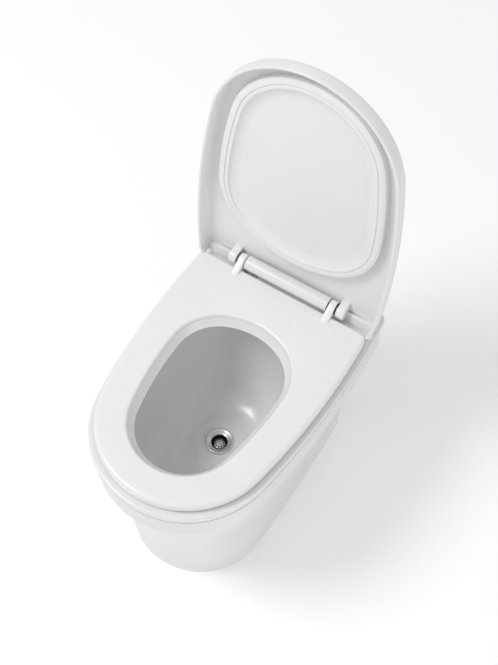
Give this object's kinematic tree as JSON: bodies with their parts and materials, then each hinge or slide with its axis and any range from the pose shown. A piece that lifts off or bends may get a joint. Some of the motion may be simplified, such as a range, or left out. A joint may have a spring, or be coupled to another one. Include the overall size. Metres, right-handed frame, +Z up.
{
  "type": "pedestal urinal with seat and lid",
  "caption": "Floor standing pedestal urinal with a deep ceramic bowl, dry strainer waste, hinged seat ring and wrap-over lid on a soft-close barrel hinge.",
  "frame": {"origin": "on the floor under the middle of the overall box, lid open", "axes": "+Z up from the floor, +Y towards the wall behind, +X to the right of a person facing the bowl"},
  "size_m": [0.3716, 0.5532, 0.8872],
  "materials": {
    "ceramic_glaze": "glossy white glaze",
    "seat_plastic": "polished moulded",
    "lid_plastic": "polished moulded",
    "hinge_plastic": "satin moulded",
    "seal_grey": "matt soft seal",
    "rubber_black": "matt",
    "chrome": "polished plating",
    "steel": "drawn",
    "pipe_plastic": "moulded",
    "damper_plastic": "moulded"
  },
  "bodies": {
    "pan": {"pedestal": "ceramic_glaze", "bowl": "ceramic_glaze", "seam_seal": "rubber_black", "waste_flange": "chrome", "strainer_holder": "steel", "strainer": "steel", "waste_gasket": "rubber_black", "waste_under_gasket": "rubber_black", "waste_washer": "steel", "waste_backnut": "steel", "trap_seal": "rubber_black", "trap_inlet_nut": "pipe_plastic", "trap_body": "pipe_plastic", "trap_cup": "pipe_plastic", "outlet_nut": "pipe_plastic", "outlet_seal": "rubber_black", "outlet_pipe": "pipe_plastic", "outlet_grommet": "rubber_black", "hinge_barrel": "hinge_plastic", "barrel_plugs": "hinge_plastic", "lid_damper": "damper_plastic", "seat_damper": "damper_plastic", "hinge_posts": "hinge_plastic", "hinge_studs": "steel", "stud_cone_washers": "rubber_black", "stud_washers": "steel", "wing_nuts": "pipe_plastic", "seat": "seat_plastic", "seat_bumpers": "seal_grey", "seat_bushes": "damper_plastic"},
    "lid": {"lid_shell": "lid_plastic", "lid_lining": "lid_plastic", "lid_seal": "seal_grey", "lid_pins": "steel"}
  },
  "joints": [
    {"name": "lid_hinge", "type": "hinge", "parent": "pan", "child": "lid", "pos_m": [0, 0.2076, 0.4062], "axis": [-1, 0, 0], "range_deg": [-97, 0]}
  ]
}
